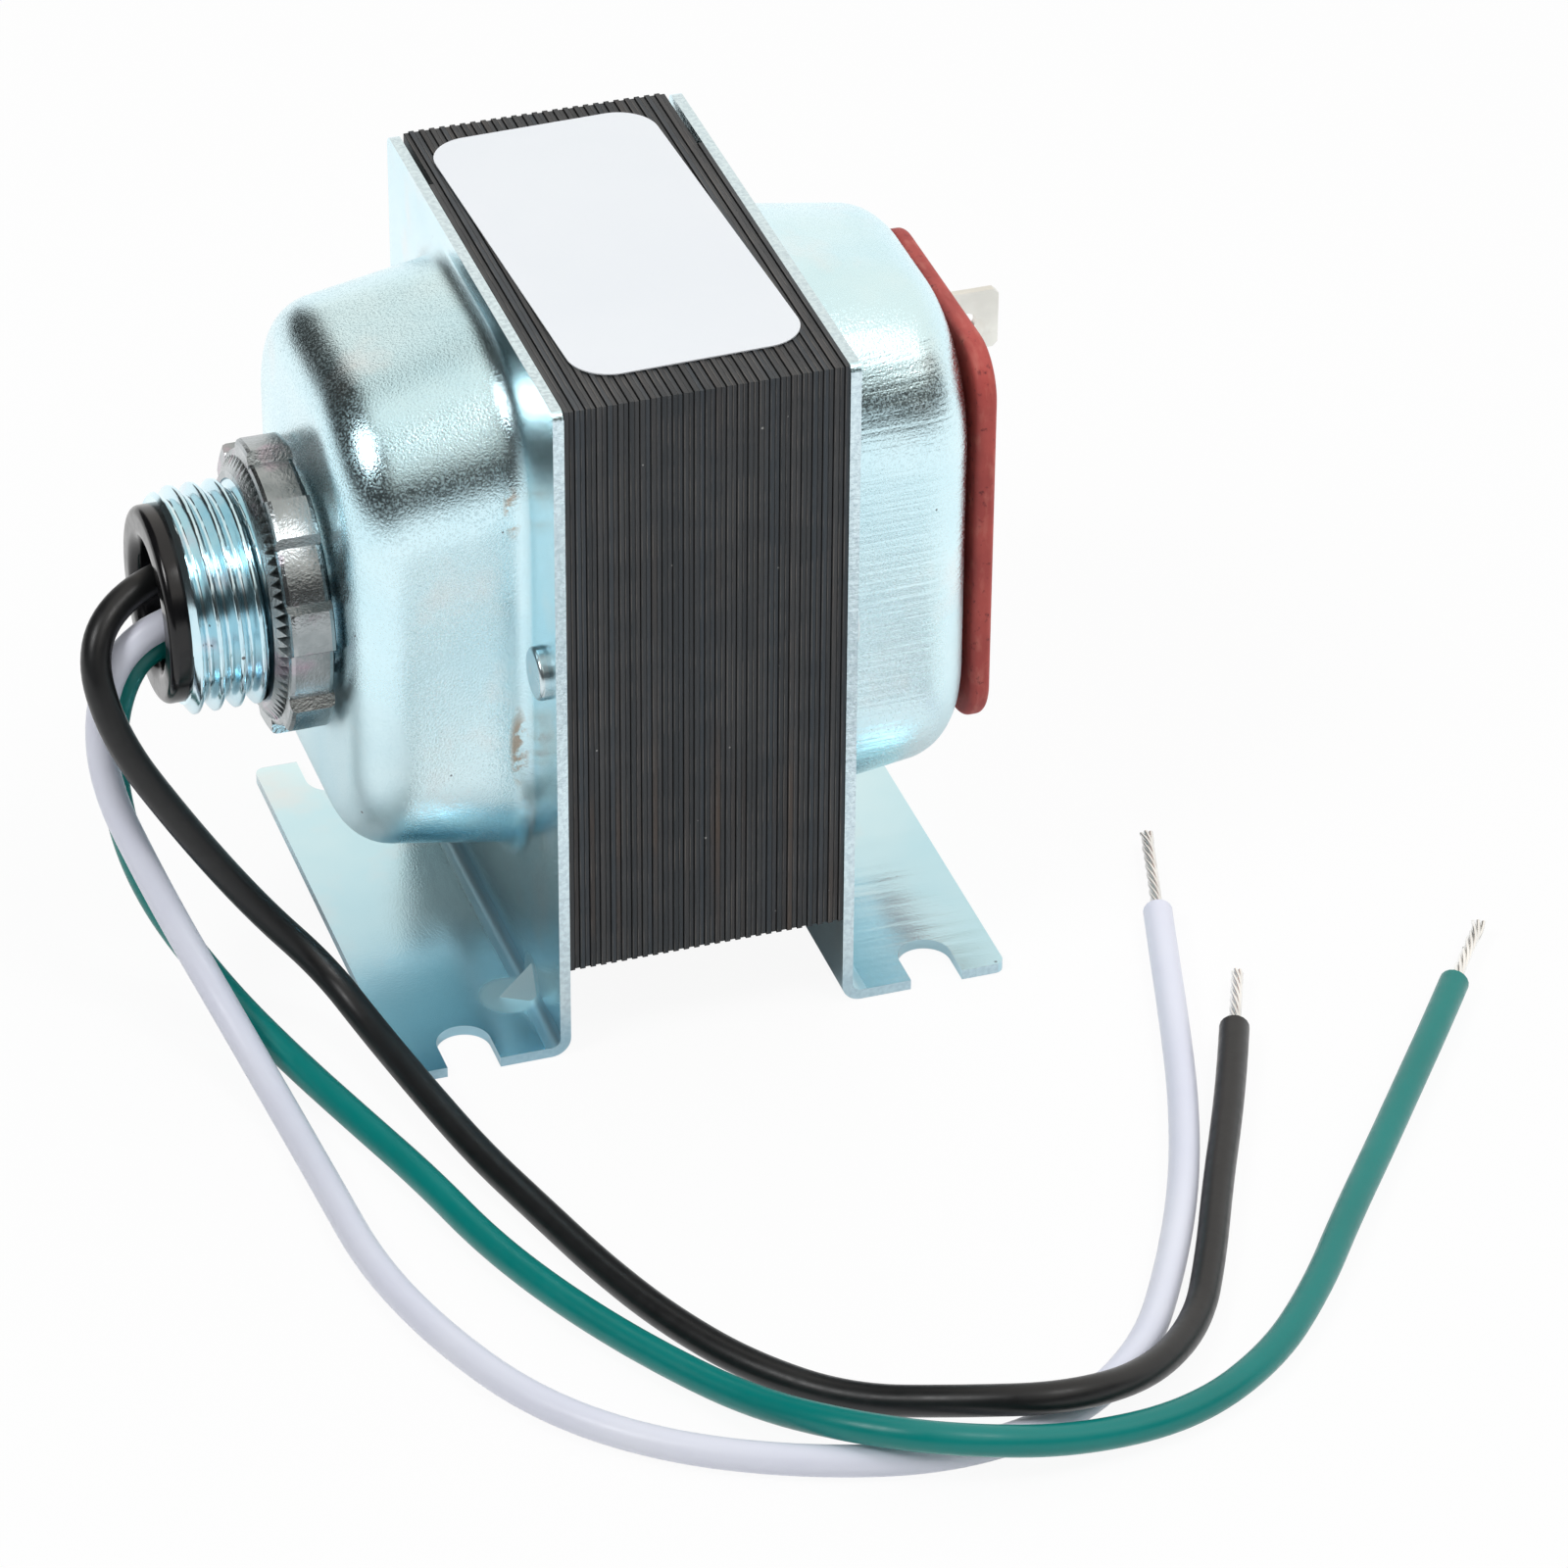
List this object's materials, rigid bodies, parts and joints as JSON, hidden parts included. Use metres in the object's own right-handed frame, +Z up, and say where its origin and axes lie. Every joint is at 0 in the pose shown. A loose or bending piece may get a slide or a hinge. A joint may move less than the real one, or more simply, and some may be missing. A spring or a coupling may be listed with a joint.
{
  "type": "doorbell transformer",
  "caption": "Low-voltage transformer: laminated core between two drawn end bells with slotted feet, a threaded conduit hub with three leads and a board with two push-on tabs.",
  "frame": {"origin": "middle of the four foot slots, on the plane that the feet stand on", "axes": "+X along the lamination stack, from the conduit hub towards the tabs; +Y from the front, where the leads lie, to the back; +Z up"},
  "size_m": [0.1301, 0.1274, 0.0706],
  "materials": {
    "lamination": "oiled, dull",
    "zinc_plated_sheet": "bright bluish zinc plate",
    "zinc_plated_rivet": "bright bluish zinc plate",
    "zinc_plated_nipple": "bright bluish zinc plate",
    "tinned_metal": "tinned",
    "die_cast_zinc": "satin, as cast",
    "black_plastic": "glossy",
    "red_fibre": "matt vulcanised fibre",
    "brass_eyelet": "nickel plated",
    "tinned_tab": "tinned",
    "white_label": "smooth, blank",
    "nylon_bobbin": "natural nylon",
    "copper_wire": "enamelled",
    "insulating_paper": "matt",
    "insulating_tape": "satin",
    "black_insulation": "satin",
    "white_insulation": "satin",
    "green_insulation": "satin",
    "tinned_copper": "tinned strands"
  },
  "bodies": {
    "root": {"e_laminations": "lamination", "i_laminations_front": "lamination", "i_laminations_back": "lamination", "left_end_bell": "zinc_plated_sheet", "right_end_bell": "zinc_plated_sheet", "front_rivet": "zinc_plated_rivet", "back_rivet": "zinc_plated_rivet", "hub_nipple": "zinc_plated_nipple", "ground_lug": "tinned_metal", "locknut": "die_cast_zinc", "hub_bushing": "black_plastic", "terminal_board": "red_fibre", "upper_eyelet": "brass_eyelet", "lower_eyelet": "brass_eyelet", "upper_tab": "tinned_tab", "lower_tab": "tinned_tab", "upper_tab_rivet": "brass_eyelet", "lower_tab_rivet": "brass_eyelet", "label": "white_label", "bobbin": "nylon_bobbin", "primary_winding": "copper_wire", "insulation_wrap": "insulating_paper", "secondary_winding": "copper_wire", "outer_tape": "insulating_tape", "upper_coil_tail": "copper_wire", "lower_coil_tail": "copper_wire", "black_lead": "black_insulation", "white_lead": "white_insulation", "green_lead": "green_insulation", "black_strand": "tinned_copper", "white_strand": "tinned_copper", "green_strand": "tinned_copper"}
  },
  "joints": []
}
